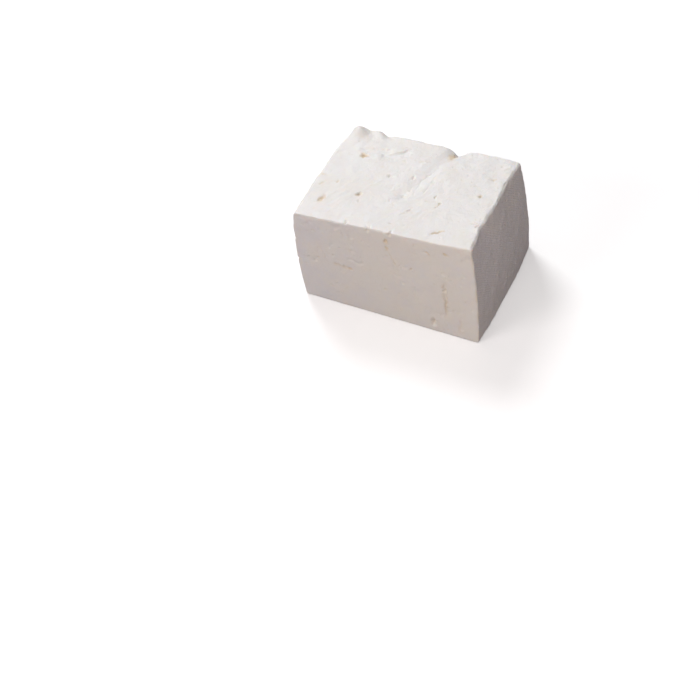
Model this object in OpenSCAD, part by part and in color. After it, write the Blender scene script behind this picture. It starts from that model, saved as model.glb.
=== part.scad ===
// Feta block: what is left of a brined white cheese after slices were cut off
// its front. One solid piece. Units are millimetres.
//
// X runs along the cut face, Y from the cut face (-Y) to the back, Z up.
// The origin is the middle of the underside, which is flat.
// The cut face is flat and sharp-edged. The other sides bow outward a little,
// as the cheese slumped in its brine. Every mark is placed as a share of the
// block's size and set on the finished surface, so it follows the size.

/* [Block] */
// Overall width along the cut face
block_width = 112; // [90:1:135]
// Overall depth from the cut face to the back
block_depth = 82; // [40:1:100]
// Overall height
block_height = 70; // [50:1:90]
// Rounding of the moulded edges
edge_radius = 1.7; // [1:0.1:4]
// Rounding of the edges round the cut face, measured in from the face
cut_edge_radius = 0.6; // [0.4:0.1:2]
// How far the side faces bow outward at mid height
side_bow = 1.5; // [0:0.1:4]
// How far the back bows outward at mid height
back_bow = 1.2; // [0:0.1:4]
// How far the right-hand top edge is hollow in plan
edge_hollow = 1; // [0:0.1:3]
// How far that edge waves in and out
edge_wave = 0.5; // [0:0.1:1.5]
// How far the right-hand bottom edge bows outward in plan
foot_bow = 1.5; // [0:0.1:3]
// How far the cut face's left edge steps in near the foot
foot_step = 0.5; // [0:0.1:2]
// How far the back corners are drawn in
corner_pull = 0.5; // [0:0.1:2]
// Unevenness of the top, up and down
top_unevenness = 0.4; // [0:0.1:1.5]
// Unevenness of the right, left and back, in and out
side_unevenness = 0.3; // [0:0.1:1]
// How much each side draws in from the foot to the top
top_taper = 2; // [0:0.5:4]
// How far the cut face's foot swings forward at its right end and back at its left
cut_twist = 2.5; // [0:0.5:5]
// How far the cut face leans back from the foot to the top
cut_lean = 1.5; // [0:0.5:4]
// How far the back leans forward from the foot to the top
back_lean = 1; // [0:0.5:4]
// How far the top tilts up to the front right corner
top_tilt = 0.7; // [0:0.1:2]

/* [Back edge] */
// Width of the notch broken out of the top back edge
notch_width = 6; // [3:0.5:14]
// Depth of the notch below the sagging edge round it
notch_depth = 3.5; // [1:0.5:10]
// Place of the notch along the width, from -1 (left) to 1 (right)
notch_place = 0.3; // [-0.6:0.05:0.7]
// Depth of the shallow valley that runs from the notch across the top
valley_depth = 1; // [0:0.1:3]
// How far the edge sags either side of the notch
notch_sag = 4; // [0:0.1:6]
// Height of the lump at the back left corner
lump_height = 5; // [0:0.1:6]
// Spread of that lump
lump_spread = 4; // [3:0.1:8]
// Height of the smaller lump to the right of it
shoulder_height = 1.5; // [0:0.1:3]
// Depth of the dent in the left edge beside the lump
dent_depth = 3; // [0:0.1:4]

/* [Marks] */
// Size of all the pits against the normal one
pit_scale = 1; // [0.5:0.05:1.8]
// Width of the cracks at the surface
crack_width = 1.3; // [0.6:0.1:2.5]
// Depth of the cracks
crack_depth = 1.8; // [0.6:0.1:4]

/* [Hidden] */
cheese = [0.93, 0.91, 0.87];

half_w = block_width / 2;
half_d = block_depth / 2;
h = block_height;
grid_step = [4.5, 5, 9]; // size of a facet on the open faces, along x, y and z
round_steps = 3; // facets across a rounded edge

// ---------- the block's surface ----------

function mix(a, b, t) = a + (b - a) * t;
function bump(d, spread) = exp(-d * d / (2 * spread * spread));
function keep(v, lo, hi) = min(max(v, lo), hi);
// distance in plan from p to the segment a-b
function off_line(p, a, b) =
    let (d = b - a, t = keep(((p - a) * d) / (d * d), 0, 1)) norm(p - a - d * t);

// grid lines along one axis: close together where an edge is rounded
function lines(lo, hi, r_lo, r_hi, step) =
    let (a = lo + r_lo, b = hi - r_hi, n = ceil((b - a) / step))
    concat(
        [for (i = [round_steps:-1:1]) a - r_lo * tan(45 * i / round_steps)],
        [for (i = [0:n]) mix(a, b, i / n)],
        [for (i = [1:round_steps]) b + r_hi * tan(45 * i / round_steps)]);

// a point of the sharp box, brought onto the rounded one
function rounded(p) =
    let (front = p.y < 0,
         core = [keep(p.x, edge_radius - half_w, half_w - edge_radius),
                 keep(p.y, cut_edge_radius - half_d, half_d - edge_radius),
                 keep(p.z, edge_radius, h - edge_radius)],
         r = [edge_radius, front ? cut_edge_radius : edge_radius, edge_radius],
         d = [(p.x - core.x) / r.x, (p.y - core.y) / r.y, (p.z - core.z) / r.z],
         n = norm(d))
    [for (i = [0:2]) core[i] + r[i] * d[i] / n];

// height of the top above the true box, by place in plan
function top_rise(x, y) =
    let (u = x / half_w, v = y / half_d,
         notch = [notch_place * half_w, half_d])
    top_unevenness * (sin(150 * u + 40) * sin(170 * v + 10) + 0.5 * sin(330 * u - 120 * v))
    + lump_height * bump(norm([x + 0.9 * half_w, y - 0.9 * half_d]), lump_spread)
    + shoulder_height * bump(norm([x + 0.65 * half_w, y - half_d]), 3)
    // the edge dips either side of the lumps
    - 0.4 * lump_height * (bump(norm([x + 0.55 * half_w, y - half_d]), 3)
                           + bump(norm([x + half_w, y - half_d]), 4))
    - notch_sag * bump(norm([x, y] - notch), 4)
    - valley_depth * bump(off_line([x, y], notch, [0, -0.2 * half_d]), 3);

// the rounded box, pushed into the shape of the real block
function shaped(p) =
    let (u = p.x / half_w, v = p.y / half_d, w = p.z / h,
         belly = 4 * w * (1 - w),
         ahead = (1 - v) / 2,
         twist = cut_twist * u * (1.4 * w - 1) * ahead,
         lean = cut_lean * w * ahead - back_lean * w * (1 - ahead),
         dent = dent_depth * max(-u, 0) * bump(p.y - 0.85 * half_d, 5) * bump(p.z - h, 12),
         // the left edge of the cut face, further out above a low step than below it
         step = foot_step * max(-u, 0) * max(-v, 0) * (1 / (1 + exp((0.25 * h - p.z) / 1.5)) - w),
         edge = max(u, 0) * ((1 - v * v) * mix(foot_bow, -edge_hollow, w)
                             + edge_wave * w * w * w * cos(360 * v)),
         pull = corner_pull * pow(abs(u) * max(v, 0), 10),
         wave = side_unevenness * belly)
    p
    + [(side_bow * belly - top_taper * w) * u + edge + dent - step - pull * sign(u)
       + wave * u * sin(200 * v + 130 * w) * (1 - v * v),
       twist + lean + (back_bow + wave * sin(260 * u + 90 * w)) * max(v, 0) * belly - pull,
       w * w * w * top_rise(p.x, p.y) + top_tilt * w * (u - v)];

xs = lines(-half_w, half_w, edge_radius, edge_radius, grid_step.x);
ys = lines(-half_d, half_d, cut_edge_radius, edge_radius, grid_step.y);
zs = lines(0, h, edge_radius, edge_radius, grid_step.z);
nx = len(xs) - 1;
ny = len(ys) - 1;
nz = len(zs) - 1;
ring = 2 * (nx + ny);
floor_count = (nx + 1) * (ny + 1);

// The surface is an underside grid, rings of points up the sides, and a top grid.
function ring_cell(t) =
    t < nx ? [t, 0] :
    t < nx + ny ? [nx, t - nx] :
    t < 2 * nx + ny ? [2 * nx + ny - t, ny] : [0, ring - t];
function ring_place(i, j) =
    j == 0 ? i : i == nx ? nx + j : j == ny ? 2 * nx + ny - i : ring - j;
function index(i, j, k) =
    k == 0 ? j * (nx + 1) + i :
    k == nz ? floor_count + ring * (nz - 1) + j * (nx + 1) + i :
    floor_count + ring * (k - 1) + ring_place(i, j);

raw_points = concat(
    [for (j = [0:ny], i = [0:nx]) shaped(rounded([xs[i], ys[j], 0]))],
    [for (k = [1:nz - 1], t = [0:ring - 1]) let (c = ring_cell(t))
        shaped(rounded([xs[c.x], ys[c.y], zs[k]]))],
    [for (j = [0:ny], i = [0:nx]) shaped(rounded([xs[i], ys[j], h]))]);

low = [for (a = [0:2]) min([for (p = raw_points) p[a]])];
high = [for (a = [0:2]) max([for (p = raw_points) p[a]])];

// Brings the shape to exactly the overall sizes, centred over the origin.
function fitted(p) =
    [(p.x - (low.x + high.x) / 2) * block_width / (high.x - low.x),
     (p.y - (low.y + high.y) / 2) * block_depth / (high.y - low.y),
     (p.z - low.z) * block_height / (high.z - low.z)];

// Any point of the true box, on or off a face, carried onto the finished shape.
function placed(p) = fitted(shaped(p));

module blank() {
    faces = concat(
        [for (j = [0:ny - 1], i = [0:nx - 1], s = [0, 1])
            s == 0 ? [index(i, j, 0), index(i + 1, j, 0), index(i + 1, j + 1, 0)]
                   : [index(i, j, 0), index(i + 1, j + 1, 0), index(i, j + 1, 0)]],
        [for (j = [0:ny - 1], i = [0:nx - 1], s = [0, 1])
            s == 0 ? [index(i, j, nz), index(i + 1, j + 1, nz), index(i + 1, j, nz)]
                   : [index(i, j, nz), index(i, j + 1, nz), index(i + 1, j + 1, nz)]],
        [for (k = [0:nz - 1], t = [0:ring - 1], s = [0, 1])
            let (a = ring_cell(t), b = ring_cell((t + 1) % ring))
            s == 0 ? [index(a.x, a.y, k), index(b.x, b.y, k + 1), index(b.x, b.y, k)]
                   : [index(a.x, a.y, k), index(a.x, a.y, k + 1), index(b.x, b.y, k + 1)]]);
    polyhedron(points = [for (p = raw_points) fitted(p)], faces = faces, convexity = 6);
}

// ---------- marks on a face ----------
// A face is named by its outward direction, and a place on it by two shares
// from -1 to 1: across and deep for the top, across and high for the sides.

TOP = 0;
CUT = 1;
RIGHT = 2;
BACK = 3;
LEFT = 4;

function on_face(face, s, t) = placed(
    face == TOP ? [s * half_w, t * half_d, h] :
    face == CUT ? [s * half_w, -half_d, (t + 1) / 2 * h] :
    face == RIGHT ? [half_w, s * half_d, (t + 1) / 2 * h] :
    face == BACK ? [s * half_w, half_d, (t + 1) / 2 * h] :
    [-half_w, s * half_d, (t + 1) / 2 * h]);

// Turns a shape whose mouth opens along +Z to open out of the face.
module facing(face) {
    turn = face == TOP ? [0, 0, 0] : face == CUT ? [90, 0, 0] :
           face == RIGHT ? [90, 0, 90] : face == BACK ? [90, 0, 180] : [90, 0, 270];
    rotate(turn) children();
}

// An irregular pit: three rough balls of unequal size, hulled.
// size is its length across the mouth, slim its width against that.
module pit(face, s, t, size, depth, turn = 0, slim = 0.75) {
    a = size * pit_scale;
    d = depth * pit_scale;
    translate(on_face(face, s, t)) facing(face) rotate(turn)
        hull() {
            scale([a * 0.36, a * slim * 0.5, d]) sphere(1, $fn = 9);
            translate([a * 0.22, a * slim * 0.08, 0])
                scale([a * 0.27, a * slim * 0.34, d * 0.7]) sphere(1, $fn = 7);
            translate([-a * 0.24, -a * slim * 0.1, 0])
                scale([a * 0.25, a * slim * 0.3, d * 0.5]) sphere(1, $fn = 6);
        }
}

// A crack along a run of places on one face, V-shaped and fading at its ends.
module crack(face, run, width = 1, depth = 1) {
    last = len(run) - 1;
    for (i = [0:last - 1])
        hull() for (e = [i, i + 1]) {
            fade = e == 0 || e == last ? 0.35 : 1;
            w = crack_width * width * fade;
            translate(on_face(face, run[e][0], run[e][1])) facing(face)
                scale([w / 2, w / 2, crack_depth * depth * fade]) sphere(1, $fn = 6);
        }
}

module notch() {
    reach = notch_depth * 2; // how far the notch reaches forward
    mouth = 2; // stands clear of the surface here
    translate(placed([notch_place * half_w, half_d, h])) hull() {
        // a skewed mouth over the back edge, a blunt floor, and a tip forward
        translate([-notch_width * 0.5, 3, mouth]) sphere(0.8, $fn = 8);
        translate([notch_width * 0.55, 3, mouth]) sphere(0.8, $fn = 8);
        translate([notch_width * 0.04, 3, 1 - notch_depth]) sphere(1, $fn = 8);
        translate([-notch_width * 0.35, -reach * 0.6, mouth]) sphere(0.8, $fn = 8);
        translate([notch_width * 0.25, -reach * 0.4, mouth]) sphere(0.8, $fn = 8);
        translate([-notch_width * 0.2, -reach, mouth]) sphere(0.8, $fn = 8);
    }
}

module top_marks() {
    // the larger pits
    pit(TOP, -0.65, 0.45, 3.6, 1.6, 20);
    pit(TOP, -0.25, 0.15, 2.6, 1.5, 70, 0.9);
    pit(TOP, -0.45, -0.35, 4, 2, 150, 0.7);
    pit(TOP, -0.8, -0.6, 4.2, 1.2, 75, 0.4);
    pit(TOP, -0.95, -0.1, 2.4, 1, 0);
    pit(TOP, -0.75, -0.2, 2.2, 1, 40);
    pit(TOP, 0, -0.2, 2, 1, 15);
    pit(TOP, 0, 0.2, 3.4, 1, 60, 0.45);
    pit(TOP, 0.35, -0.1, 2.2, 1, 120);
    pit(TOP, 0.8, 0.1, 3.2, 1.3, 30);
    pit(TOP, 0.9, -0.45, 3.4, 1, 70, 0.6);
    pit(TOP, 0.85, 0.5, 2.2, 1, 10);
    pit(TOP, -0.15, -1, 2.6, 1.2, 0, 0.6);
    // creases
    crack(TOP, [[-0.5, 0.55], [-0.35, 0.6], [-0.2, 0.8]], 0.8, 0.5);
    crack(TOP, [[0.1, -0.6], [0.15, -0.5], [0.2, -0.4]], 0.7, 0.5);
    crack(TOP, [[0.4, -0.35], [0.4, -0.25], [0.45, -0.15]], 0.9, 0.7);
    crack(TOP, [[0.5, -0.85], [0.6, -0.8], [0.65, -0.7]], 0.8, 0.6);
}

module cut_face_marks() {
    crack(CUT, [[0.05, 0.8], [0.05, 0.55], [0.15, 0.25]], 0.9, 0.6);
    crack(CUT, [[0.65, 0.2], [0.65, -0.2], [0.65, -0.6]], 1.3, 1);
    crack(CUT, [[-0.6, 0], [-0.5, 0], [-0.4, -0.05]], 0.9, 0.5);
    pit(CUT, -0.75, 0.05, 2.4, 1.2, 30);
    pit(CUT, 0.3, 0.3, 2.4, 1.1, 80);
    pit(CUT, 0.7, 0.8, 2.2, 1, 0);
    pit(CUT, 0.5, -0.8, 5, 2.2, 25, 0.7);
}

module side_marks() {
    pit(RIGHT, -0.3, -0.2, 2.4, 1, 20);
    pit(RIGHT, 0.35, 0.75, 2.4, 1, 20, 0.6);
    // the back and left, which are finished like the right
    pit(BACK, -0.55, 0.35, 2.8, 1.1, 40, 0.6);
    pit(BACK, 0.1, -0.3, 2.2, 1, 100);
    pit(BACK, 0.6, 0.1, 2.6, 1, 15, 0.55);
    pit(LEFT, -0.4, 0.3, 2.4, 1, 60);
    pit(LEFT, 0.35, -0.35, 2.8, 1, 150, 0.5);
}

module block() {
    color(cheese) difference() {
        blank();
        notch();
        top_marks();
        cut_face_marks();
        side_marks();
    }
}

block();
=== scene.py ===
# Feta block: the looks of one cut block of white brined cheese.
# The block is a single fine mesh. It follows the CAD model's form and the places of its
# marks, and adds curd, small pits, chipped edges and knife marks. The print of the cloth
# and the finest grain are bump in the material.
# Shape work is in millimetres on the block's true box and turns to metres at the end.
import math

import bpy
import numpy as np
from mathutils import Matrix, Vector
from mathutils.kdtree import KDTree


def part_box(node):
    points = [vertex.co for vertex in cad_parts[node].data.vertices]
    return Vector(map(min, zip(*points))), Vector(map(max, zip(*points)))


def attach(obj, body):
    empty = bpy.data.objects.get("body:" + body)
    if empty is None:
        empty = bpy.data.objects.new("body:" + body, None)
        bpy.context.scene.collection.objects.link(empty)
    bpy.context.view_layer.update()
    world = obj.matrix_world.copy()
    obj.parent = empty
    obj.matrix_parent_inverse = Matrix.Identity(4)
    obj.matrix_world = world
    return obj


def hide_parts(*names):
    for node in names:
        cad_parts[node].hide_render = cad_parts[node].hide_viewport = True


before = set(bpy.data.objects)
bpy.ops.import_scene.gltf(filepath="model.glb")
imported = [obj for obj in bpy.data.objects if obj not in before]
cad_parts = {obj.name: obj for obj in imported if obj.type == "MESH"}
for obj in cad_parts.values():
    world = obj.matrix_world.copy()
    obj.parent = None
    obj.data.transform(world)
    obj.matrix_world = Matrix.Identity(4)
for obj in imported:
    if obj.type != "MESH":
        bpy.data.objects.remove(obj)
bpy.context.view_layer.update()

MM = 0.001
SEED = 11

# ---------- sizes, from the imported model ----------

block_low, block_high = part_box("block")
SIZE = np.array(block_high - block_low) / MM
HALF_W, HALF_D = SIZE[0] / 2, SIZE[1] / 2
H = SIZE[2]

# The form, as in the CAD model, in mm. A place is a share from -1 to 1.
EDGE_RADIUS = 1.7
CUT_EDGE_RADIUS = 0.6
SIDE_BOW = 1.5
BACK_BOW = 1.2
EDGE_HOLLOW = 1.0
EDGE_WAVE = 0.5
FOOT_BOW = 1.5
FOOT_STEP = 0.5
CORNER_PULL = 0.5
TOP_TAPER = 2.0
CUT_TWIST = 2.5
TWIST_AT_TOP = 0.4  # of the twist at the foot
CUT_LEAN = 1.5
BACK_LEAN = 1.0
TOP_TILT = 0.7
TOP_UNEVENNESS = 0.4
SIDE_UNEVENNESS = 0.3
NOTCH_PLACE = 0.3
NOTCH_WIDTH = 6.0
NOTCH_DEPTH = 3.5
NOTCH_SAG = 4.0
SAG_SPREAD = 4
VALLEY_DEPTH = 1.0
VALLEY_SPREAD = 3
VALLEY_END = -0.2
LUMP_PLACE = (-0.9, 0.9)
LUMP_HEIGHT = 5.0
LUMP_SPREAD = 4.0
SHOULDER_PLACE = (-0.65, 1)
SHOULDER_HEIGHT = 1.5
SHOULDER_SPREAD = 3
DIP_SHARE = 0.4  # of the lump's height
DENT_PLACE = 0.85
DENT_DEPTH = 3.0
STEP_HEIGHT = 0.25  # of the block's height
STEP_SOFTNESS = 1.5

# The mesh.
GRID_STEP = 0.42
ROUND_STEPS = 6
MAX_TRIANGLES = 196000

# ---------- small helpers ----------


def mix(a, b, t):
    return a + (b - a) * t


def bump(distance, spread):
    return np.exp(-distance * distance / (2 * spread * spread))


def smooth(lo, hi, x):
    """0 below lo, 1 above hi, and an S between them."""
    t = np.clip((x - lo) / (hi - lo), 0, 1)
    return t * t * (3 - 2 * t)


def sin_deg(a):
    return np.sin(np.radians(a))


NOISE_CELLS = 256
NOISE_GAIN = 1.6
OCTAVE_SHIFT = 7.3
rng = np.random.default_rng(SEED)
PERM = np.tile(rng.permutation(NOISE_CELLS), 3)
GRADIENTS = rng.normal(size=(NOISE_CELLS, 3))
GRADIENTS /= np.linalg.norm(GRADIENTS, axis=1, keepdims=True)


def noise(points, size, shift=0.0):
    """Gradient noise from about -1 to 1, with features about size mm across.

    size is one number or one per axis, and shift moves the pattern to a fresh place.
    """
    p = points / np.asarray(size, float) + shift
    cell = np.floor(p).astype(int)
    f = p - cell
    cell %= NOISE_CELLS
    fade = f * f * f * (f * (f * 6 - 15) + 10)
    total = np.zeros(len(p))
    for corner in range(8):
        step = np.array([corner & 1, corner >> 1 & 1, corner >> 2 & 1])
        i, j, k = (cell + step).T
        gradient = GRADIENTS[PERM[PERM[PERM[i] + j] + k]]
        weight = np.prod(np.where(step, fade, 1 - fade), axis=1)
        total += weight * np.einsum("ij,ij->i", gradient, f - step)
    return NOISE_GAIN * total


def fractal(points, size, octaves, shift=0.0):
    """Noise at size mm and at each half of it, each half as strong."""
    return sum(noise(points, size / 2 ** n, shift + OCTAVE_SHIFT * n) / 2 ** n for n in range(octaves))


# ---------- the form ----------


def grid_lines(lo, hi, r_lo, r_hi):
    """Places along one axis, closer together where an edge is rounded."""
    a, b = lo + r_lo, hi - r_hi
    turn = np.tan(np.pi / 4 * np.arange(1, ROUND_STEPS + 1) / ROUND_STEPS)
    flat = np.linspace(a, b, math.ceil((b - a) / GRID_STEP) + 1)
    return np.concatenate([(a - r_lo * turn)[::-1], flat, b + r_hi * turn])


def rounded(p):
    """Points of the sharp box brought onto the rounded one, and the way each faces."""
    radius = np.full(p.shape, EDGE_RADIUS)
    radius[p[:, 1] < 0, 1] = CUT_EDGE_RADIUS
    low = np.array([EDGE_RADIUS - HALF_W, CUT_EDGE_RADIUS - HALF_D, EDGE_RADIUS])
    high = np.array([HALF_W - EDGE_RADIUS, HALF_D - EDGE_RADIUS, H - EDGE_RADIUS])
    core = np.clip(p, low, high)
    away = (p - core) / radius
    away /= np.linalg.norm(away, axis=1, keepdims=True)
    facing = away / radius
    return core + radius * away, facing / np.linalg.norm(facing, axis=1, keepdims=True)


def off_line(x, y, a, b):
    """Distance in plan from each point to the segment from a to b."""
    a, b = np.array(a), np.array(b)
    along = b - a
    t = np.clip(((x - a[0]) * along[0] + (y - a[1]) * along[1]) / (along @ along), 0, 1)
    return np.hypot(x - a[0] - along[0] * t, y - a[1] - along[1] * t)


def hill(x, y, place, spread):
    """A round hill in plan, 1 at its middle."""
    return bump(np.hypot(x - place[0] * HALF_W, y - place[1] * HALF_D), spread)


def top_rise(x, y):
    """Height of the top above the true box."""
    u, v = x / HALF_W, y / HALF_D
    waves = sin_deg(150 * u + 40) * sin_deg(170 * v + 10) + 0.5 * sin_deg(330 * u - 120 * v)
    lump = LUMP_HEIGHT * hill(x, y, LUMP_PLACE, LUMP_SPREAD)
    shoulder = SHOULDER_HEIGHT * hill(x, y, SHOULDER_PLACE, SHOULDER_SPREAD)
    # the edge dips either side of the lumps
    dips = hill(x, y, (-0.55, 1), 3) + hill(x, y, (-1, 1), 4)
    sag = NOTCH_SAG * hill(x, y, (NOTCH_PLACE, 1), SAG_SPREAD)
    valley_line = off_line(x, y, (NOTCH_PLACE * HALF_W, HALF_D), (0, VALLEY_END * HALF_D))
    valley = VALLEY_DEPTH * bump(valley_line, VALLEY_SPREAD)
    return TOP_UNEVENNESS * waves + lump + shoulder - DIP_SHARE * LUMP_HEIGHT * dips - sag - valley


def shaped(p):
    """The rounded box pushed into the block's real shape."""
    x, y, z = p.T
    u, v, w = x / HALF_W, y / HALF_D, z / H
    belly = 4 * w * (1 - w)
    ahead = (1 - v) / 2
    # the foot swings one way and the top the other, by a share of it
    twist = CUT_TWIST * u * ((1 + TWIST_AT_TOP) * w - 1) * ahead
    lean = CUT_LEAN * w * ahead - BACK_LEAN * w * (1 - ahead)
    dent = DENT_DEPTH * np.maximum(-u, 0) * bump(y - DENT_PLACE * HALF_D, 5) * bump(z - H, 12)
    # the left edge of the cut face, further out above a low step than below it
    above_step = 1 / (1 + np.exp((STEP_HEIGHT * H - z) / STEP_SOFTNESS))
    step = FOOT_STEP * np.maximum(-u, 0) * np.maximum(-v, 0) * (above_step - w)
    edge = (1 - v * v) * mix(FOOT_BOW, -EDGE_HOLLOW, w) + EDGE_WAVE * w ** 3 * sin_deg(360 * v + 90)
    pull = CORNER_PULL * (np.abs(u) * np.maximum(v, 0)) ** 10
    wave = SIDE_UNEVENNESS * belly
    dx = (SIDE_BOW * belly - TOP_TAPER * w) * u + np.maximum(u, 0) * edge + dent - step - pull * np.sign(u)
    dx += wave * u * sin_deg(200 * v + 130 * w) * (1 - v * v)
    dy = twist + lean + (BACK_BOW + wave * sin_deg(260 * u + 90 * w)) * np.maximum(v, 0) * belly - pull
    dz = w ** 3 * top_rise(x, y) + TOP_TILT * w * (u - v)
    return p + np.stack([dx, dy, dz], axis=1)


def box_surface():
    """Vertices on the sharp box and quads: an underside grid, rings up the sides, a top grid."""
    xs = grid_lines(-HALF_W, HALF_W, EDGE_RADIUS, EDGE_RADIUS)
    ys = grid_lines(-HALF_D, HALF_D, CUT_EDGE_RADIUS, EDGE_RADIUS)
    zs = grid_lines(0, H, EDGE_RADIUS, EDGE_RADIUS)
    nx, ny, nz = len(xs), len(ys), len(zs)
    gx, gy = np.meshgrid(xs, ys, indexing="ij")
    plan = np.arange(nx * ny).reshape(nx, ny)
    ring = np.concatenate([plan[:-1, 0], plan[-1, :-1], plan[:0:-1, -1], plan[0, :0:-1]])
    flat = np.stack([gx.ravel(), gy.ravel()], axis=1)

    levels = [np.column_stack([flat, np.zeros(nx * ny)])]
    levels += [np.column_stack([flat[ring], np.full(len(ring), z)]) for z in zs[1:-1]]
    levels += [np.column_stack([flat, np.full(nx * ny, H)])]
    first_top = nx * ny + (nz - 2) * len(ring)

    a, b, c, d = plan[:-1, :-1], plan[1:, :-1], plan[1:, 1:], plan[:-1, 1:]
    cells = np.stack([a, b, c, d], axis=-1).reshape(-1, 4)
    rows = [ring] + [nx * ny + k * len(ring) + np.arange(len(ring)) for k in range(nz - 2)]
    rows += [first_top + ring]
    quads = [cells[:, ::-1], cells + first_top]
    for below, above in zip(rows[:-1], rows[1:]):
        quads.append(np.stack([below, np.roll(below, -1), np.roll(above, -1), above], axis=1))
    return np.concatenate(levels), np.concatenate(quads)


# ---------- marks ----------
# A face is named, and a place on it is two shares from -1 to 1: across and deep on
# the top, across and high on the sides.

# outward, across and second axis of each face
FACES = {
    "top": ((0, 0, 1), (1, 0, 0), (0, 1, 0)),
    "cut": ((0, -1, 0), (1, 0, 0), (0, 0, 1)),
    "right": ((1, 0, 0), (0, 1, 0), (0, 0, 1)),
    "back": ((0, 1, 0), (1, 0, 0), (0, 0, 1)),
    "left": ((-1, 0, 0), (0, 1, 0), (0, 0, 1)),
}


def axes(face):
    """The directions out of a face, across it and along its second axis."""
    return [np.array(axis, float) for axis in FACES[face]]


def on_face(face, s, t):
    """A place on the rounded box, in mm from the middle of its underside."""
    out, across, second = axes(face)
    half = np.array([HALF_W, HALF_D, H / 2])
    place = (out + across * s + second * t) * half + (0, 0, H / 2)
    return rounded(place[None])[0][0]


def within(points, centre, reach):
    """Which points lie within reach of centre along each axis."""
    return np.nonzero(np.abs(points - centre).max(axis=1) < reach)[0]


# The marks that stand out, in round shares. The small ones are scattered by random_pits.
# face, two shares, length, depth, turn, width against length, how tan it is inside
PITS = (
    ("top", -0.65, 0.45, 6.5, 1.6, 10, 0.75, 0.9),
    ("top", -0.25, 0.15, 5, 0.9, 10, 0.7, 0.15),
    ("top", -0.45, -0.35, 5, 1.6, 60, 0.85, 0.65),
    ("top", -0.8, -0.6, 8.5, 1.1, 85, 0.4, 0.85),
    ("top", -0.95, -0.1, 4.5, 0.7, 10, 0.6, 0.5),
    ("top", -0.9, -0.3, 5, 0.6, 70, 0.6, 0.35),
    ("top", -0.75, -0.2, 3.5, 0.6, 70, 0.7, 0.4),
    ("top", 0, 0.2, 5, 0.8, 75, 0.4, 0.15),
    ("top", 0, -0.2, 3.5, 0.7, 75, 0.5, 0.2),
    ("top", 0.35, -0.1, 3.5, 0.9, 85, 0.6, 0.4),
    ("top", 0.8, 0.1, 4.5, 1.3, 75, 0.5, 0.7),
    ("top", 0.85, 0.5, 4, 0.8, 10, 0.6, 0.4),
    ("top", 0.65, 0.35, 2.5, 0.5, 20, 0.6, 0.1),
    ("top", 0.05, -0.8, 3, 0.7, 10, 0.6, 0.2),
    # short scratches near the right edge
    ("top", 0.9, -0.45, 4, 0.6, 10, 0.4, 0.3),
    ("top", 0.95, -0.5, 4.5, 0.7, 80, 0.4, 0.35),
    # chips broken out of the top's front edge
    ("top", -0.4, -0.95, 5, 1.1, 70, 0.55, 0.15),
    ("top", -0.15, -1, 6, 1.4, 65, 0.55, 0.1),
    ("top", 0.1, -1, 5, 1.2, 70, 0.5, 0.25),
    # cut face
    ("cut", 0.05, 0.8, 5, 1, 80, 0.7, 0.9),
    ("cut", 0.05, 0.65, 4, 0.5, 85, 0.5, 0.6),
    ("cut", -0.4, -0.05, 4.5, 0.7, 0, 0.6, 0.75),
    ("cut", -0.75, 0.05, 3, 0.7, 120, 0.6, 0.3),
    ("cut", 0.3, 0.3, 3, 0.6, 80, 0.7, 0.4),
    ("cut", 0.5, 0.75, 4, 0.5, 150, 0.5, 0.6),
    ("cut", 0.7, 0.8, 4, 0.8, 165, 0.5, 0.9),
    # chips out of the upright edge on the left
    ("cut", -1, -0.1, 4.5, 0.7, 80, 0.5, 0.2),
    ("cut", -1, -0.3, 3.5, 0.5, 90, 0.5, 0.1),
    ("cut", -1, 0.4, 3.5, 0.5, 90, 0.5, 0.1),
    # hollows either side of the fissure's foot
    ("cut", 0.5, -0.8, 8.5, 2, 85, 0.5, 0.2),
    ("cut", 0.8, -0.75, 14, 0.9, 85, 0.3, 0.1),
    # right, back and left
    ("right", 0.35, 0.75, 3, 0.5, 20, 0.6, 0.4),
    ("right", -0.3, -0.2, 4, 0.7, 10, 0.6, 0.5),
    ("back", -0.55, 0.35, 4.4, 1.1, 40, 0.6, 0.5),
    ("back", 0.1, -0.3, 3.6, 0.9, 100, 0.8, 0.3),
    ("back", 0.6, 0.1, 4.2, 0.9, 15, 0.55, 0.6),
    ("left", -0.4, 0.3, 3.8, 0.8, 60, 0.8, 0.5),
    ("left", 0.35, -0.35, 4.4, 0.9, 150, 0.5, 0.3),
)

# face, width, depth, how tan it is, and its run of places
CRACKS = (
    ("top", 1.8, 0.6, 0.1, ((0.1, -0.6), (0.2, -0.4))),
    ("top", 1.6, 0.8, 0.3, ((0.4, -0.35), (0.45, -0.15))),
    ("top", 1.7, 1.0, 0.7, ((0.5, -0.85), (0.65, -0.7))),
    ("top", 1.8, 0.5, 0.0, ((-0.15, -0.45), (-0.05, -0.25))),
    ("top", 2.2, 0.4, 0.2, ((-0.05, 0.55), (0.1, 0.6))),
    # drag lines that run forward and left from the notch
    ("top", 2.4, 0.45, 0.0, ((0.25, 0.6), (0.1, 0.2), (0.1, -0.3))),
    ("top", 1.8, 0.35, 0.0, ((0.25, 0.45), (0.2, -0.15))),
    ("cut", 1.2, 0.5, 0.3, ((0.05, 0.6), (0.15, 0.25))),
    ("cut", 3.2, 1.4, 0.3, ((0.65, 0.2), (0.65, -0.2), (0.65, -0.65))),
    ("cut", 2.4, 0.35, 0.3, ((-0.6, 0.0), (-0.4, -0.05))),
    ("left", 1.2, 0.5, 0.2, ((0.1, 0.6), (0.15, 0.05))),
    ("back", 1.3, 0.6, 0.3, ((-0.2, 0.7), (-0.2, 0.1))),
)

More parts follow.
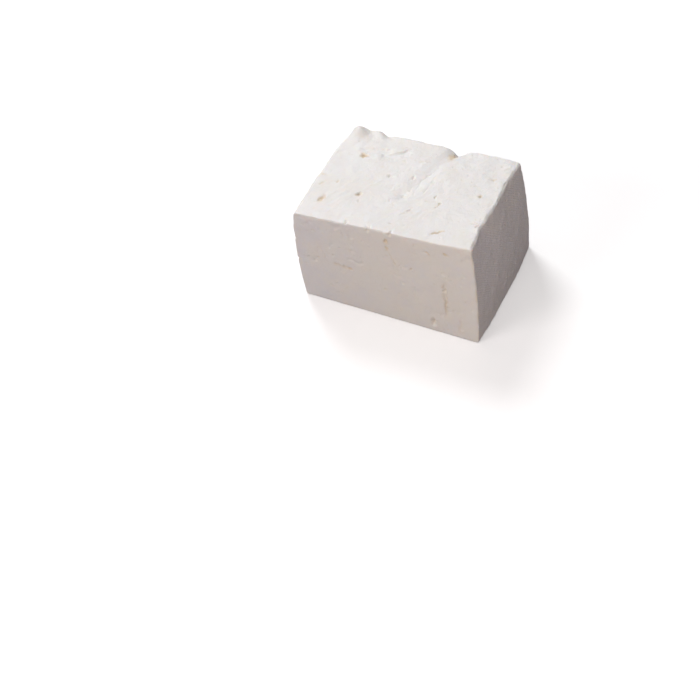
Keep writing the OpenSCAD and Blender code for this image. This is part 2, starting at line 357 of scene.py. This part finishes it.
# face, two shares, length, height: curds left standing on the cloth's print
CRUMBS = (
    ("right", 0.75, 0.5, 2.8, 0.55),
    ("right", 0, 0.5, 2.4, 0.5),
    ("right", 0, -0.6, 2.6, 0.5),
    ("back", 0.35, 0.55, 2.4, 0.35),
    ("left", -0.1, -0.6, 2.2, 0.3),
)

# face, drop, and its run of places: the surface drops in front of it, or below it on a side
LEDGES = (
    ("top", 0.7, ((-0.75, 0.6), (-0.35, 0.7))),
    ("top", 1.0, ((-0.5, 0.55), (-0.35, 0.6), (-0.2, 0.8))),
    ("back", 0.6, ((0.5, -0.3), (0.25, -0.35), (0, -0.3))),
    ("left", 0.6, ((-0.6, -0.2), (-0.3, -0.3), (0, -0.25))),
)

# how many small random pits on each face, and their largest size
SPECKS = {"top": (80, 2.4), "cut": (80, 2.2), "right": (40, 2.2), "back": (60, 2.4), "left": (50, 2.4)}
SMALLEST_SPECK = 1.0


def random_pits():
    """Small curd holes scattered on each face, more of them small than large."""
    picks = np.random.default_rng(SEED + 1)
    pits = []
    for face, (count, largest) in SPECKS.items():
        for _ in range(count):
            s, t = picks.uniform(-0.95, 0.95, 2)
            size = SMALLEST_SPECK + (largest - SMALLEST_SPECK) * picks.random() ** 2
            turn, slim = picks.uniform(0, 180), picks.uniform(0.5, 1)
            depth = size * picks.uniform(0.12, 0.22)
            pits.append((face, s, t, size, depth, turn, slim, 0.2 * picks.random()))
    return pits


def pit_field(points, warp, marks):
    """How deep each point is sunk by the pits, and how tan it is there."""
    sink, tan = np.zeros(len(points)), np.zeros(len(points))
    for face, s, t, size, depth, turn, slim, stain in marks:
        out, across, second = axes(face)
        centre = on_face(face, s, t)
        near = within(points, centre, size)
        place = points[near] - centre + warp[near] * min(0.2 * size, 0.8)
        a, b, c = place @ across, place @ second, place @ out
        ct, st = math.cos(math.radians(turn)), math.sin(math.radians(turn))
        along, aside = (a * ct + b * st) * 2 / size, (b * ct - a * st) * 2 / (size * slim)
        far = np.sqrt(along ** 2 + aside ** 2 + (c * 2 / size) ** 2)
        sink[near] = np.maximum(sink[near], depth * (1 - smooth(0, 1.1, far)))
        tan[near] = np.maximum(tan[near], stain * (1 - smooth(0.1, 1.3, far)))
    return sink, tan


def crumb_field(points, warp):
    """How far each point is raised by the crumbs."""
    raised = np.zeros(len(points))
    for face, s, t, size, height in CRUMBS:
        centre = on_face(face, s, t)
        near = within(points, centre, size)
        far = np.linalg.norm(points[near] - centre + warp[near] * 0.5, axis=1) * 2 / size
        raised[near] += height * (1 - smooth(0.2, 1.0, far))
    return raised


def along_run(place, stops):
    """Distance from each place to a run of stops, how far along it is, and the nearest point on it."""
    far, progress, nearest = np.full(len(place), 1e9), np.zeros(len(place)), np.zeros(place.shape)
    for n, (a, b) in enumerate(zip(stops[:-1], stops[1:])):
        t = np.clip((place - a) @ (b - a) / ((b - a) @ (b - a)), 0, 1)
        foot = a + t[:, None] * (b - a)
        gap = np.linalg.norm(place - foot, axis=1)
        closer = gap < far
        far = np.where(closer, gap, far)
        progress = np.where(closer, (n + t) / (len(stops) - 1), progress)
        nearest = np.where(closer[:, None], foot, nearest)
    return far, progress, nearest


def run_points(points, face, run, reach):
    """A run's stops in mm, and which points lie within reach of them."""
    stops = [on_face(face, s, t) for s, t in run]
    low, high = np.min(stops, axis=0) - reach, np.max(stops, axis=0) + reach
    return stops, np.nonzero(((points > low) & (points < high)).all(axis=1))[0]


def crack_field(points, warp):
    """How deep each point is sunk by the cracks, and how tan it is there.

    A crack is V-shaped and ragged, and it fades at both ends.
    """
    sink, tan = np.zeros(len(points)), np.zeros(len(points))
    for face, width, depth, stain, run in CRACKS:
        stops, near = run_points(points, face, run, 2 * width + 1)
        far, progress, _ = along_run(points[near] + warp[near] * 0.8, stops)
        fade = smooth(0, 0.2, progress) * smooth(0, 0.2, 1 - progress)
        patchy = 0.75 + 0.5 * noise(points[near], 3, 40)
        off_middle = far / (0.5 * width)
        profile = (1 - smooth(0, 1, off_middle)) * fade * patchy
        sink[near] = np.maximum(sink[near], depth * profile)
        tan[near] = np.maximum(tan[near], stain * (1 - smooth(0.2, 1.5, off_middle)) * fade)
    return sink, tan


def ledge_field(points, warp):
    """Soft steps: a quick drop on one side of each run that levels out again further off."""
    sink = np.zeros(len(points))
    for face, drop, run in LEDGES:
        stops, near = run_points(points, face, run, 9)
        place = points[near] + warp[near] * 0.9
        far, progress, nearest = along_run(place, stops)
        _, _, second = axes(face)
        side = np.sign((nearest - place) @ second) * far
        fade = smooth(0, 0.25, progress) * smooth(0, 0.2, 1 - progress)
        fall = smooth(-1.0, 1.6, side) * (1 - smooth(1.6, 8, side))
        sink[near] += drop * fall * fade
    return sink


def notch_cut(x, y):
    """Depth of the broken notch in the top's back edge, below the sagging edge round it."""
    from_back = HALF_D - y
    reach = NOTCH_DEPTH * 2.2
    middle = NOTCH_PLACE * HALF_W - 0.18 * from_back
    width = NOTCH_WIDTH / 2 * np.clip(1.1 - from_back / reach, 0.05, 1.1)
    slope = np.clip(1 - np.abs(x - middle) / width, 0, 1) ** 0.8
    return NOTCH_DEPTH * slope * np.clip(1 - from_back / reach, 0, 1)


# ---------- surface relief ----------
# A term is a height in mm times a noise, and often a mask. A noise takes its size in mm
# and a shift, and a fractal its size, its octaves and a shift.

DRAG_ANGLE = math.radians(58)


def relief(points, facing):
    """Height of the curd and knife marks above the smooth form, along the surface's own direction."""
    top = np.clip(facing[:, 2], 0, 1) ** 3
    cut = np.clip(-facing[:, 1], 0, 1) ** 3
    side = np.clip(1 - top - cut, 0, 1)

    curd = 0.26 * fractal(points, 13, 2) + 0.18 * noise(points, 4.8, 3) + 0.085 * fractal(points, 2.2, 2, 9)
    # streaks dragged forward and left over the top
    ca, sa = math.cos(DRAG_ANGLE), math.sin(DRAG_ANGLE)
    x, y, z = points.T
    drag = np.stack([x * ca + y * sa, y * ca - x * sa, z], axis=1)
    streaks = 0.18 * noise(drag, (12, 2, 9), 21) * smooth(-0.3, 0.4, noise(points, 20, 5))
    # a knife leaves shallow vertical drag lines and small torn curds
    knife = 0.07 * noise(points, (1.5, 9, 24), 31) + 0.2 * fractal(points, 9, 3, 17)
    torn = -0.3 * smooth(0.2, 0.6, noise(points, 2.8, 51)) * smooth(-0.2, 0.3, noise(points, 15, 61))
    # heavier vertical folds low on the right of the cut face
    low_right = smooth(0.1, 0.7, x / HALF_W) * (1 - smooth(0.2, 0.6, z / H))
    folds = 0.35 * noise(points, (4.5, 9, 40), 43) * low_right
    grain = 0.03 * noise(points, 1.2, 71)
    return top * (curd + streaks) + cut * (knife + folds + torn + grain) + side * (1.1 * curd + grain)


def edge_wear(points, facing):
    """How far the edges are chipped, rubbed and scalloped back."""
    edge = smooth(0.02, 0.29, 1 - np.abs(facing).max(axis=1))
    fresh = np.clip(-facing[:, 1] * 2, 0, 1)
    rub = mix(0.1, 0.06, fresh) * (1 + noise(points, 3.4, 81))
    chips = mix(0.35, 0.8, fresh) * smooth(0.34, 0.62, noise(points, 5.2, 91))
    return edge * (rub + chips)


def scallops(points):
    """How far the moulded top edges wander sideways, and a little up and down."""
    x, y, z = points.T
    near_top = np.exp(-(H - z) / 3.5)
    right, left = bump(x - HALF_W, 4), bump(x + HALF_W, 4)
    behind = bump(y - HALF_D, 4)
    dx = (right + left) * (0.5 * noise(points, 6.5, 131) + 0.25 * noise(points, 3, 137))
    dy = behind * (0.4 * noise(points, 6.5, 141) + 0.2 * noise(points, 3, 147))
    return np.stack([dx, dy, 0.3 * (right + left) * noise(points, 5, 151)], axis=1) * near_top[:, None]


# the stain in front of the notch: its middle, and its fade below the top in mm
NOTCH_STAIN_PLACE = (0.27, 0.82)
NOTCH_STAIN_FADE = (14, 5)


def block_shape():
    """Finished vertices in metres, quads, and the painted values at each vertex."""
    sharp, quads = box_surface()
    points, facing = rounded(sharp)
    plain = shaped(points)
    low, high = plain.min(axis=0), plain.max(axis=0)

    warp = np.stack([fractal(points, 2.4, 2, k) for k in (101, 111, 121)], axis=1)
    pit_sink, pit_tan = pit_field(points, warp, list(PITS) + random_pits())
    crack_sink, crack_tan = crack_field(points, warp)
    sink = np.maximum(pit_sink, crack_sink) + ledge_field(points, warp) + edge_wear(points, facing)
    rise = relief(points, facing) + crumb_field(points, warp) - sink
    # the underside carries no relief
    underside = smooth(0.2, 0.7, -facing[:, 2])
    carved = points + facing * (rise * (1 - underside))[:, None] + scallops(points)

    final = shaped(carved)
    ragged_x, ragged_y = points[:, 0] + 0.6 * warp[:, 0], points[:, 1] + 0.6 * warp[:, 1]
    final[:, 2] -= (points[:, 2] / H) ** 9 * notch_cut(ragged_x, ragged_y)
    # the plain form is brought to the CAD model's sizes, centred over the origin
    middle = (low + high) / 2
    middle[2] = low[2]
    final = (final - middle) * SIZE / (high - low)
    final[:, 2] = np.maximum(final[:, 2], 0)

    stain_x, stain_y = NOTCH_STAIN_PLACE[0] * HALF_W, NOTCH_STAIN_PLACE[1] * HALF_D
    beside_notch = np.hypot(ragged_x - stain_x, (ragged_y - stain_y) * 0.6)
    near_top = smooth(H - NOTCH_STAIN_FADE[0], H - NOTCH_STAIN_FADE[1], points[:, 2])
    notch_tan = 0.8 * (1 - smooth(0.8, 4, beside_notch)) * near_top
    # the upright edge between the cut face and the right is a little tan
    upright = 2 * np.clip(facing[:, 0], 0, 1) * np.clip(-facing[:, 1], 0, 1)
    edge_tan = 0.4 * upright * smooth(-0.6, 0.4, noise(points, 9, 171))
    tan = np.maximum.reduce([pit_tan, crack_tan, notch_tan, edge_tan])
    cloth = np.clip(1 - 1.6 * np.clip(-facing[:, 1], 0, 1) - 1.3 * np.abs(facing[:, 2]), 0, 1)
    cut = np.clip(-facing[:, 1], 0, 1) ** 2
    # painted warm light: the right two thirds of the cut face are painted creamier, for the warm light
    # bounced onto that side
    painted_warm_light = cut * smooth(-0.75, -0.05, points[:, 0] / HALF_W + 0.25 * noise(points, 18, 161))
    return final * MM, quads, {"tan": tan, "cloth": cloth, "cut": cut, "painted_warm_light": painted_warm_light}


def put_in_scene(name, data):
    """A new object in the scene that holds data."""
    made = bpy.data.objects.new(name, data)
    bpy.context.scene.collection.objects.link(made)
    return made


def mesh_from_arrays(name, vertices, quads):
    mesh = bpy.data.meshes.new(name)
    mesh.vertices.add(len(vertices))
    mesh.vertices.foreach_set("co", vertices.astype(np.float32).ravel())
    mesh.loops.add(quads.size)
    mesh.loops.foreach_set("vertex_index", quads.astype(np.int32).ravel())
    mesh.polygons.add(len(quads))
    mesh.polygons.foreach_set("loop_start", np.arange(0, quads.size, 4, dtype=np.int32))
    mesh.update(calc_edges=True)
    mesh.validate()
    return mesh


def make_block():
    """The block's object, thinned to MAX_TRIANGLES and painted with its point attributes."""
    vertices, quads, painted = block_shape()
    fine_mesh = mesh_from_arrays("fine", vertices, quads)
    fine = put_in_scene("fine", fine_mesh)
    thin = fine.modifiers.new("thin", "DECIMATE")
    thin.ratio = MAX_TRIANGLES / (2 * len(quads))
    view = bpy.context.evaluated_depsgraph_get()
    mesh = bpy.data.meshes.new_from_object(fine.evaluated_get(view))
    mesh.name = "feta_block"
    bpy.data.objects.remove(fine)
    bpy.data.meshes.remove(fine_mesh)

    # each vertex left takes its painted values from the nearest of the fine ones
    tree = KDTree(len(vertices))
    for n, place in enumerate(vertices):
        tree.insert(place, n)
    tree.balance()
    nearest = np.array([tree.find(v.co)[1] for v in mesh.vertices])
    for name, values in painted.items():
        layer = mesh.attributes.new(name, "FLOAT", "POINT")
        layer.data.foreach_set("value", values[nearest].astype(np.float32))
    mesh.polygons.foreach_set("use_smooth", np.ones(len(mesh.polygons), bool))
    return put_in_scene("feta_block", mesh)


# ---------- material ----------

WHITE = (0.878, 0.872, 0.855, 1)
CREAM = (0.86, 0.82, 0.75, 1)
COOL = (0.81, 0.785, 0.785, 1)
TAN = (0.74, 0.58, 0.36, 1)
MAUVE = (0.83, 0.775, 0.785, 1)
# the cloth's print, its pitch in mm
WEAVE_PITCH = 1.26
WEAVE_ANGLE = math.radians(41)
# heights of the bump, in mm
GRAIN_HEIGHT = 0.12
PORE_HEIGHT = 0.06
PRINT_HEIGHT = 0.045


class Nodes:
    """A short way to write the node tree of a material or world, from an empty one."""

    def __init__(self, owner):
        owner.use_nodes = True
        self.tree = owner.node_tree
        self.tree.nodes.clear()

    def add(self, kind, inputs=None, **settings):
        made = self.tree.nodes.new(kind)
        for key, value in settings.items():
            setattr(made, key, value)
        for key, value in (inputs or {}).items():
            if isinstance(value, bpy.types.NodeSocket):
                self.tree.links.new(value, made.inputs[key])
            else:
                made.inputs[key].default_value = value
        return made

    def maths(self, operation, a, b=0.0, c=0.0):
        return self.add("ShaderNodeMath", {0: a, 1: b, 2: c}, operation=operation).outputs[0]

    def blend(self, factor, a, b):
        return self.add("ShaderNodeMix", {0: factor, 6: a, 7: b}, data_type="RGBA").outputs[2]

    def spots(self, place, size_mm, detail=2.0, roughness=0.5):
        """Noise from 0 to 1 with features about size_mm across."""
        inputs = {"Vector": place, "Scale": 1 / (size_mm * MM), "Detail": detail, "Roughness": roughness}
        return self.add("ShaderNodeTexNoise", inputs).outputs[0]

    def ramp(self, value, lo, hi, low_value=0.0, high_value=1.0):
        inputs = {0: value, 1: lo, 2: hi, 3: low_value, 4: high_value}
        return self.add("ShaderNodeMapRange", inputs, interpolation_type="SMOOTHSTEP").outputs[0]

    def painted(self, name):
        return self.add("ShaderNodeAttribute", attribute_name=name).outputs["Fac"]


def weave(nodes, place, across, up):
    """One set of ribs of the cheesecloth's print, from -1 to 1."""
    k = 2 * math.pi / (WEAVE_PITCH * MM)
    inputs = {0: place, 1: (across * k, across * k, up * k)}
    dot = nodes.add("ShaderNodeVectorMath", inputs, operation="DOT_PRODUCT")
    return nodes.maths("SINE", dot.outputs["Value"])


def curd_colour(nodes, place):
    """White curd with creamier and cooler patches, and tan whey stains in the pits. Painted light too:
    painted shade, darker and pinker, on the moulded sides and the cut face, and painted warm light on the
    cut face's right.
    """
    tan, cut, painted_warm_light = nodes.painted("tan"), nodes.painted("cut"), nodes.painted("painted_warm_light")
    warm = nodes.ramp(nodes.spots(place, 22, 3, 0.55), 0.42, 0.66)
    cool = nodes.ramp(nodes.spots(place, 17, 3, 0.6), 0.5, 0.72)
    patchy = nodes.maths("MULTIPLY_ADD", cut, 0.25, 0.28)
    # painted shade: the moulded sides are painted darker and pinker, the tint of their shade
    painted_side_shade = nodes.blend(nodes.maths("MULTIPLY", nodes.painted("cloth"), 0.8), WHITE, MAUVE)
    # painted shade: the whole cut face is painted cooler and darker, and stays so on its left where no warm
    # light is painted over it
    colour = nodes.blend(nodes.maths("MULTIPLY", cut, 0.75), painted_side_shade, COOL)
    # painted warm light: the cut face's right is painted creamier
    colour = nodes.blend(nodes.maths("MULTIPLY", painted_warm_light, 0.7), colour, CREAM)
    colour = nodes.blend(nodes.maths("MULTIPLY", warm, patchy), colour, CREAM)
    colour = nodes.blend(nodes.maths("MULTIPLY", cool, patchy), colour, COOL)
    flecks = nodes.ramp(nodes.spots(place, 3.2, 2, 0.5), 0.58, 0.75)
    colour = nodes.blend(nodes.maths("MULTIPLY", flecks, 0.5), colour, CREAM)
    stain = nodes.maths("MULTIPLY", tan, nodes.maths("ADD", 0.35, nodes.spots(place, 1.6, 1)))
    return nodes.blend(stain, colour, TAN)


def fine_relief(nodes, place, cloth):
    """Relief finer than the mesh, in mm: grain, pores, and the cloth's print on the moulded sides."""
    grain = nodes.maths("MULTIPLY", nodes.spots(place, 0.8, 3, 0.6), GRAIN_HEIGHT)
    open_curd = nodes.ramp(nodes.spots(place, 1.3, 1, 0.4), 0.28, 0.42)
    pores = nodes.maths("MULTIPLY", open_curd, PORE_HEIGHT)
    ribs = weave(nodes, place, math.sin(WEAVE_ANGLE), math.cos(WEAVE_ANGLE))
    cross = weave(nodes, place, math.cos(WEAVE_ANGLE), -math.sin(WEAVE_ANGLE))
    cloth_print = nodes.maths("MULTIPLY_ADD", cross, 0.4, ribs)
    worn = nodes.ramp(nodes.spots(place, 14, 2), 0.3, 0.6, 0.55, 1.0)
    cloth_print = nodes.maths("MULTIPLY", nodes.maths("MULTIPLY", cloth_print, cloth), worn)
    height = nodes.maths("MULTIPLY_ADD", cloth_print, PRINT_HEIGHT, nodes.maths("ADD", grain, pores))
    return nodes.add("ShaderNodeBump", {"Height": height, "Strength": 1.0, "Distance": MM}).outputs[0]


def feta_material():
    material = bpy.data.materials.new("feta")
    nodes = Nodes(material)
    place = nodes.add("ShaderNodeTexCoord").outputs["Object"]
    skin = nodes.add("ShaderNodeBsdfPrincipled", {
        "Base Color": curd_colour(nodes, place),
        "Roughness": nodes.ramp(nodes.spots(place, 6, 2), 0.3, 0.7, 0.5, 0.68),
        "IOR": 1.4,
        "Specular IOR Level": 0.4,
        "Subsurface Weight": 0.35,
        "Subsurface Radius": (1.0, 0.8, 0.6),
        "Subsurface Scale": 2.0 * MM,
        "Normal": fine_relief(nodes, place, nodes.painted("cloth")),
    })
    skin.subsurface_method = "RANDOM_WALK"
    nodes.add("ShaderNodeOutputMaterial", {0: skin.outputs[0]})
    return material


# ---------- stage, light and camera ----------


FLOOR_REACH = 3.0
FLOOR_SEEN = (0.92, 0.92, 0.92, 1)
FLOOR_BOUNCE = (0.25, 0.24, 0.235, 1)
PURE_WHITE = (1, 1, 1, 1)
# the floor turns white between these distances from the block, in metres
FADE_START = 0.3
FADE_END = 0.7


def floor_material():
    """A flat finish: white to the camera, duller as a source of bounced light."""
    material = bpy.data.materials.new("floor")
    nodes = Nodes(material)
    seen = nodes.add("ShaderNodeLightPath").outputs["Is Camera Ray"]
    place = nodes.add("ShaderNodeTexCoord").outputs["Object"]
    from_block = nodes.add("ShaderNodeVectorMath", {0: place}, operation="LENGTH").outputs["Value"]
    paint_colour = nodes.blend(seen, FLOOR_BOUNCE, FLOOR_SEEN)
    flat = nodes.add("ShaderNodeBsdfDiffuse", {"Color": paint_colour})
    strength = nodes.maths("MULTIPLY", seen, 0.3)
    glow = nodes.add("ShaderNodeEmission", {"Color": PURE_WHITE, "Strength": strength})
    both = nodes.add("ShaderNodeAddShader", {0: flat.outputs[0], 1: glow.outputs[0]})
    # far from the block the floor runs into the white background
    white = nodes.add("ShaderNodeEmission", {"Color": PURE_WHITE, "Strength": 1.0})
    far = nodes.maths("MULTIPLY", nodes.ramp(from_block, FADE_START, FADE_END), seen)
    whole = nodes.add("ShaderNodeMixShader", {0: far, 1: both.outputs[0], 2: white.outputs[0]})
    nodes.add("ShaderNodeOutputMaterial", {0: whole.outputs[0]})
    return material


def make_floor():
    turns = ((-1, -1), (1, -1), (1, 1), (-1, 1))
    corners = [(FLOOR_REACH * x, FLOOR_REACH * y, 0) for x, y in turns]
    mesh = bpy.data.meshes.new("floor")
    mesh.from_pydata(corners, [], [(0, 1, 2, 3)])
    mesh.materials.append(floor_material())
    floor = put_in_scene("floor", mesh)


def direction(azimuth, elevation):
    """A unit vector out from the block: azimuth 0 is in front of the cut face, 90 is to the right."""
    a, e = math.radians(azimuth), math.radians(elevation)
    return Vector((math.sin(a) * math.cos(e), -math.cos(a) * math.cos(e), math.sin(e)))


def softbox(name, azimuth, elevation, distance, size, power, colour):
    """A round soft light that faces the middle of the block. Angles are degrees, lengths metres."""
    light = bpy.data.lights.new(name, "AREA")
    light.shape = "DISK"
    light.size = size
    light.energy = power
    light.color = colour
    lamp = put_in_scene(name, light)
    out = direction(azimuth, elevation)
    lamp.location = out * distance + Vector((0, 0, H / 2 * MM))
    lamp.rotation_euler = out.to_track_quat("Z", "Y").to_euler()


def make_lights():
    softbox("key", 225, 49, 1.2, 0.5, 7.8, (0.98, 0.985, 1.0))
    softbox("overhead", 70, 80, 1.2, 1.2, 4.0, (1.0, 0.98, 0.97))
    softbox("front_fill", -35, 25, 1.2, 0.7, 5.5, (1.0, 0.925, 0.92))
    softbox("warm_fill", 38, 12, 0.55, 0.35, 0.65, (1.0, 0.88, 0.84))


def make_room():
    """The background: white to the camera, a dim even light to everything else."""
    world = bpy.data.worlds.new("room")
    nodes = Nodes(world)
    seen = nodes.add("ShaderNodeLightPath").outputs["Is Camera Ray"]
    ambient = nodes.add("ShaderNodeBackground", {"Color": (1.0, 0.93, 0.94, 1), "Strength": 0.12})
    white = nodes.add("ShaderNodeBackground", {"Color": PURE_WHITE, "Strength": 1.0})
    both = nodes.add("ShaderNodeMixShader", {0: seen, 1: ambient.outputs[0], 2: white.outputs[0]})
    nodes.add("ShaderNodeOutputWorld", {0: both.outputs[0]})
    bpy.context.scene.world = world


# The camera, as fitted to the block's corners: round it, above it and rolled, in degrees,
# then its distance from the origin, and its shift to the side and up in the view, in mm.
CAMERA_AZIMUTH = 31.28
CAMERA_ELEVATION = 47.33
CAMERA_ROLL = -9.43
CAMERA_DISTANCE = 1160.4
CAMERA_SIDE = -39.45
CAMERA_UP = -45.4
LENS = 102.86
SENSOR_WIDTH = 36


def make_camera():
    data = bpy.data.cameras.new("camera")
    data.sensor_width = SENSOR_WIDTH
    data.lens = LENS
    camera = put_in_scene("camera", data)
    back = direction(CAMERA_AZIMUTH, CAMERA_ELEVATION)
    level = Vector((math.cos(math.radians(CAMERA_AZIMUTH)), math.sin(math.radians(CAMERA_AZIMUTH)), 0))
    roll = Matrix.Rotation(math.radians(CAMERA_ROLL), 3, back)
    right = roll @ level
    up = roll @ back.cross(level)
    place = (right * CAMERA_SIDE + up * CAMERA_UP + back * CAMERA_DISTANCE) * MM
    camera.matrix_world = Matrix.Translation(place) @ Matrix((right, up, back)).transposed().to_4x4()
    bpy.context.scene.camera = camera


make_camera()
make_lights()
make_room()
make_floor()
bpy.context.scene.view_settings.view_transform = "Standard"

block = make_block()
block.data.materials.append(feta_material())
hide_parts("block")
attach(block, "root")
